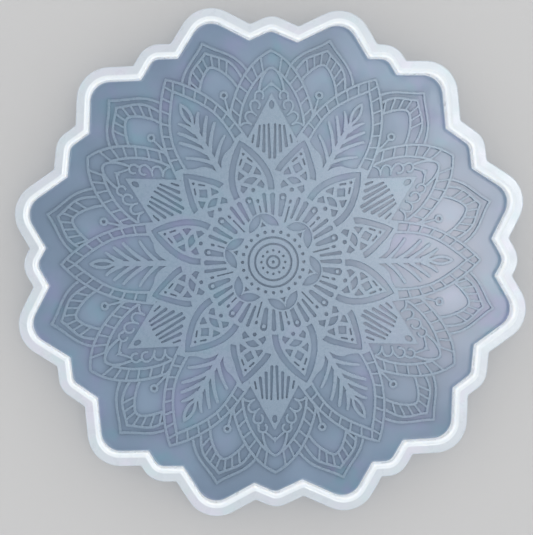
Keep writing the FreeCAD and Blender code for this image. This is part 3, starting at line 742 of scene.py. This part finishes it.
def rim_silicone():
    """Milky, waxy wall that lets light soak in, with painted shade where it faces outward and painted
    highlights on the shoulder and inside.
    """
    recipe = Recipe("rim_silicone")
    tilt = recipe.facing_middle()
    colour = tinted(recipe, MILKY_COLOUR, depth=0.45)
    # Painted shade on outward-facing parts and painted highlights on the shoulder and inside face, chosen
    # by facing direction.
    for tilts, other in (
        (OUTSIDE_SHADE_TILTS, OUTSIDE_PAINTED_SHADE),
        (SHOULDER_HIGHLIGHT_TILTS, SHOULDER_PAINTED_HIGHLIGHT),
        (INSIDE_HIGHLIGHT_TILTS, INSIDE_PAINTED_HIGHLIGHT),
    ):
        colour = recipe.blend(recipe.ranged(tilt, *tilts), colour, other)
    roughness = recipe.patchy(size=5, low=0.24, high=0.36)
    waves = recipe.bump(recipe.noise(size=7, shift=5), depth=0.03)
    grain = recipe.bump(recipe.noise(size=0.5, detail=3.0), depth=0.003, under=waves)
    recipe.surface.inputs["Subsurface Weight"].default_value = SOAK_SHARE
    recipe.surface.inputs["Subsurface Radius"].default_value = SOAK_REACH
    recipe.surface.inputs["Subsurface Scale"].default_value = SOAK_SCALE * MM
    return recipe.finish(colour, roughness, grain)


def frosted_silicone():
    """Matte, finely etched skin of the relief."""
    recipe = Recipe("frosted_silicone")
    speckle = recipe.ranged(recipe.noise(size=0.35, detail=3.0, roughness=0.7), 0.35, 0.7)
    colour = recipe.blend(speckle, tinted(recipe, FROSTED_COLOUR, depth=0.8), FROST_SPECK)
    roughness = recipe.patchy(size=2, low=0.24, high=0.34)
    etched = recipe.bump(recipe.noise(size=0.25, detail=4.0, roughness=0.7), depth=0.006)
    return recipe.finish(colour, roughness, etched)


def table_finish():
    """Plain pale table."""
    recipe = Recipe("pale_table")
    colour = recipe.blend(recipe.noise(size=180, detail=3.0), TABLE_COLOUR, TABLE_SHADE)
    roughness = recipe.patchy(size=3, low=0.7, high=0.8)
    return recipe.finish(colour, roughness, recipe.bump(recipe.noise(size=1.2, detail=3.0), depth=0.02))


# ---------------------------------------------------------------- scene


def make_table():
    """A wide table top under the object."""
    mesh = bpy.data.meshes.new("table")
    corners = [(x * TABLE_HALF, y * TABLE_HALF, 0) for x, y in ((-1, -1), (1, -1), (1, 1), (-1, 1))]
    mesh.from_pydata(corners, [], [(0, 1, 2, 3)])
    table = bpy.data.objects.new("table", mesh)
    bpy.context.scene.collection.objects.link(table)
    table.location.z = -TABLE_GAP
    table.data.materials.append(table_finish())


def make_surroundings():
    """A light tent: bright low around the object and dimmer overhead."""
    world = bpy.data.worlds.new("light_tent")
    bpy.context.scene.world = world
    world.use_nodes = True
    tree = world.node_tree
    background = tree.nodes["Background"]
    direction = tree.nodes.new("ShaderNodeTexCoord").outputs["Generated"]
    split = tree.nodes.new("ShaderNodeSeparateXYZ")
    tree.links.new(direction, split.inputs[0])
    ramp = tree.nodes.new("ShaderNodeValToRGB")
    ramp.color_ramp.interpolation = "B_SPLINE"
    stops = ramp.color_ramp.elements
    for _ in TENT_STOPS[2:]:
        stops.new(1.0)
    for stop, (position, grey) in zip(stops, TENT_STOPS):
        stop.position = position
        stop.color = (grey, grey, grey, 1.0)
    tree.links.new(split.outputs["Z"], ramp.inputs["Fac"])
    tree.links.new(ramp.outputs["Color"], background.inputs["Color"])
    background.inputs["Strength"].default_value = TENT_STRENGTH


def make_soft_box(name, place, size, power, colour):
    """A soft box facing straight down, brightest in its middle and fading to nothing at its edges."""
    lamp = bpy.data.lights.new(name, "AREA")
    lamp.shape = "RECTANGLE"
    lamp.size, lamp.size_y = size
    lamp.energy = power
    lamp.color = colour
    lamp.use_nodes = True
    tree = lamp.node_tree
    position = tree.nodes.new("ShaderNodeNewGeometry").outputs["Position"]
    half_size = (size[0] / 2, size[1] / 2, 1.0)
    for operation, values in (("SUBTRACT", place), ("DIVIDE", half_size)):
        step = tree.nodes.new("ShaderNodeVectorMath")
        step.operation = operation
        step.inputs[1].default_value = values
        tree.links.new(position, step.inputs[0])
        position = step.outputs[0]
    reach = tree.nodes.new("ShaderNodeVectorMath")
    reach.operation = "LENGTH"
    tree.links.new(position, reach.inputs[0])
    fade = tree.nodes.new("ShaderNodeMapRange")
    fade.interpolation_type = "SMOOTHSTEP"
    fade.inputs["To Min"].default_value = 1.0
    fade.inputs["To Max"].default_value = 0.0
    tree.links.new(reach.outputs["Value"], fade.inputs["Value"])
    tree.links.new(fade.outputs["Result"], tree.nodes["Emission"].inputs["Strength"])
    box = bpy.data.objects.new(name, lamp)
    box.location = place
    box.visible_diffuse = False
    bpy.context.scene.collection.objects.link(box)


def make_camera():
    """Camera nearly straight above, with a slight lean."""
    lens = bpy.data.cameras.new("camera")
    lens.sensor_width = SENSOR_WIDTH
    lens.lens = LENS
    camera = bpy.data.objects.new("camera", lens)
    camera.location = CAMERA_PLACE
    camera.rotation_euler = [math.radians(turn) for turn in CAMERA_TURN]
    bpy.context.scene.collection.objects.link(camera)
    bpy.context.scene.camera = camera


def dress(piece, node_name, material):
    """Puts a piece on the body, in place of its CAD node, with its finish."""
    piece.data.materials.append(material)
    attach(piece, "root")
    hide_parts(node_name)


def main():
    """Builds the visible pieces on the frame, then the table, the light and the camera."""
    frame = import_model()
    nodes = frame["nodes"]
    floor_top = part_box("floor_sheet")[1].z / MM
    relief_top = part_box("feather_frames")[1].z / MM
    wall_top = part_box("rim_wall")[1].z / MM

    wall = make_wall(nodes["rim_wall"], floor_top, wall_top)
    dress(wall, "rim_wall", rim_silicone())
    floor = make_floor(nodes["floor_sheet"], floor_top)
    dress(floor, "floor_sheet", clear_silicone(floor_top))

    frosted = frosted_silicone()
    outlines = {}
    for name in RELIEF_NODES:
        lines = cad_outlines(nodes[name], relief_top * MM)
        outlines[name] = [curved(line, steps_for_turn(line)) for line in lines]
    for name in RELIEF_NODES:
        neighbours = [line for other in RELIEF_NODES if other != name for line in outlines[other]]
        piece = make_relief(name, outlines[name], neighbours, floor_top, relief_top)
        dress(piece, name, frosted)

    make_table()
    make_surroundings()
    for name, settings in SOFT_BOXES.items():
        make_soft_box(name, *settings)
    make_camera()
    bpy.context.scene.view_settings.view_transform = "Standard"


main()
